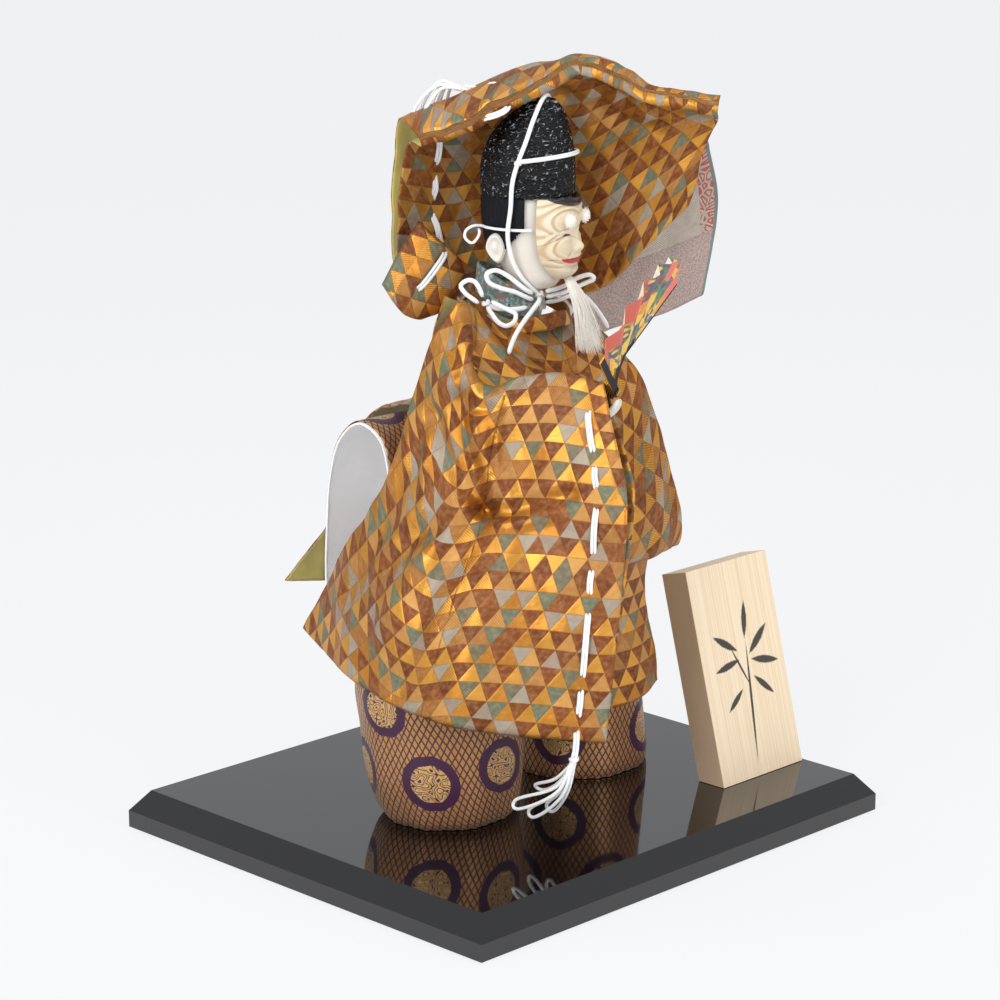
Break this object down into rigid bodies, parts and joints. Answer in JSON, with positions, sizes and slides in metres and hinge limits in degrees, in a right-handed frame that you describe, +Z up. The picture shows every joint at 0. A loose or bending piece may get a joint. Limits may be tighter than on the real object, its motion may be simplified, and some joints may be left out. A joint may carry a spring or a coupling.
{
  "type": "noh dancer doll on a display board",
  "caption": "Standing Noh dancer doll in gold triangle brocade robe and wide trousers, masked, one sleeve over the head and an open folding fan in hand, on a black board with a plaque.",
  "frame": {"origin": "middle of the underside of the display board, on the surface that it stands on", "axes": "+Z up, the doll's body facing -Y, its right hand towards -X; the head looks towards +X and -Y"},
  "size_m": [0.3, 0.265, 0.4063],
  "materials": {
    "lacquer": "high gloss black lacquer",
    "plain_wood": "planed, unfinished pale wood",
    "rod_steel": "plain",
    "straw": "packed straw body",
    "gofun": "smooth shell-white",
    "hair": "fine black silk threads",
    "hat_lacquer": "crinkled black lacquer",
    "white_cord": "twisted silk",
    "mask_ivory": "smooth, aged ivory",
    "horsehair": "long straight hair",
    "teal_cloth": "woven with a red pattern",
    "white_cloth": "plain silk",
    "brocade": "gold triangle brocade",
    "inner_cloth": "ribbed, with a speckled panel",
    "hakama_cloth": "purple and gold lattice brocade",
    "fan_lacquer": "black lacquered bamboo",
    "fan_paper": "painted pleated paper",
    "fan_brass": "plain"
  },
  "bodies": {
    "doll": {"display_board": "lacquer", "wooden_plaque": "plain_wood", "plaque_prop": "plain_wood", "leg_rod_right": "rod_steel", "leg_rod_left": "rod_steel", "torso_core": "straw", "neck_peg": "plain_wood", "head": "gofun", "hair": "hair", "court_hat": "hat_lacquer", "hat_cord": "white_cord", "mask_cord": "white_cord", "mask_face": "mask_ivory", "brow_tuft_right": "horsehair", "brow_tuft_left": "horsehair", "collar_teal": "teal_cloth", "collar_white": "white_cloth", "robe_collar": "brocade", "right_sleeve": "brocade", "left_sleeve": "brocade", "robe_front": "brocade", "robe_skirt": "brocade", "robe_back": "brocade", "inner_sleeve_left": "inner_cloth", "under_robe": "white_cloth", "waist_sash": "white_cloth", "hakama_back": "hakama_cloth", "hakama_leg_right": "hakama_cloth", "hakama_leg_left": "hakama_cloth", "hakama_seat": "hakama_cloth", "arm_right": "gofun", "arm_left": "gofun", "hand_right": "gofun", "lacing_right": "white_cord", "lacing_left": "white_cord", "chin_loop_right": "white_cord", "chin_loop_left": "white_cord", "chin_tail_right": "white_cord", "chin_tail_left": "white_cord", "collar_loop_big": "white_cord", "collar_loop_small": "white_cord", "collar_cord": "white_cord", "fan_rivet": "fan_brass", "fan_rib_1": "fan_lacquer"},
    "jaw": {"mask_jaw": "mask_ivory", "beard": "horsehair"},
    "fan_part_2": {"fan_rib_2": "fan_lacquer", "fan_leaf_1": "fan_paper"},
    "fan_part_3": {"fan_rib_3": "fan_lacquer", "fan_leaf_2": "fan_paper"},
    "fan_part_4": {"fan_rib_4": "fan_lacquer", "fan_leaf_3": "fan_paper"},
    "fan_part_5": {"fan_rib_5": "fan_lacquer", "fan_leaf_4": "fan_paper"},
    "fan_part_6": {"fan_rib_6": "fan_lacquer", "fan_leaf_5": "fan_paper"},
    "fan_part_7": {"fan_rib_7": "fan_lacquer", "fan_leaf_6": "fan_paper"},
    "fan_part_8": {"fan_rib_8": "fan_lacquer", "fan_leaf_7": "fan_paper"}
  },
  "joints": [
    {"name": "jaw_swing", "type": "hinge", "parent": "doll", "child": "jaw", "pos_m": [0.01081, -0.02288, 0.3057], "axis": [0.9223, 0.3866, 0], "range_deg": [0, 4]},
    {"name": "fan_fold_1", "type": "hinge", "parent": "doll", "child": "fan_part_2", "pos_m": [-0.01723, -0.08859, 0.2515], "axis": [0.3672, -0.8209, -0.4373], "range_deg": [-15, 1], "deforming": ["fan_leaf_1"]},
    {"name": "fan_fold_2", "type": "hinge", "parent": "fan_part_2", "child": "fan_part_3", "pos_m": [-0.01723, -0.08859, 0.2515], "axis": [0.3672, -0.8209, -0.4373], "range_deg": [-15, 1], "deforming": ["fan_leaf_2"]},
    {"name": "fan_fold_3", "type": "hinge", "parent": "fan_part_3", "child": "fan_part_4", "pos_m": [-0.01723, -0.08859, 0.2515], "axis": [0.3672, -0.8209, -0.4373], "range_deg": [-15, 1], "deforming": ["fan_leaf_3"]},
    {"name": "fan_fold_4", "type": "hinge", "parent": "fan_part_4", "child": "fan_part_5", "pos_m": [-0.01723, -0.08859, 0.2515], "axis": [0.3672, -0.8209, -0.4373], "range_deg": [-15, 1], "deforming": ["fan_leaf_4"]},
    {"name": "fan_fold_5", "type": "hinge", "parent": "fan_part_5", "child": "fan_part_6", "pos_m": [-0.01723, -0.08859, 0.2515], "axis": [0.3672, -0.8209, -0.4373], "range_deg": [-15, 1], "deforming": ["fan_leaf_5"]},
    {"name": "fan_fold_6", "type": "hinge", "parent": "fan_part_6", "child": "fan_part_7", "pos_m": [-0.01723, -0.08859, 0.2515], "axis": [0.3672, -0.8209, -0.4373], "range_deg": [-15, 1], "deforming": ["fan_leaf_6"]},
    {"name": "fan_fold_7", "type": "hinge", "parent": "fan_part_7", "child": "fan_part_8", "pos_m": [-0.01723, -0.08859, 0.2515], "axis": [0.3672, -0.8209, -0.4373], "range_deg": [-15, 1], "deforming": ["fan_leaf_7"]}
  ],
  "couplings": [
    {"joint": "fan_fold_2", "follows": "fan_fold_1", "ratio": 1},
    {"joint": "fan_fold_3", "follows": "fan_fold_1", "ratio": 1},
    {"joint": "fan_fold_4", "follows": "fan_fold_1", "ratio": 1},
    {"joint": "fan_fold_5", "follows": "fan_fold_1", "ratio": 1},
    {"joint": "fan_fold_6", "follows": "fan_fold_1", "ratio": 1},
    {"joint": "fan_fold_7", "follows": "fan_fold_1", "ratio": 1}
  ]
}
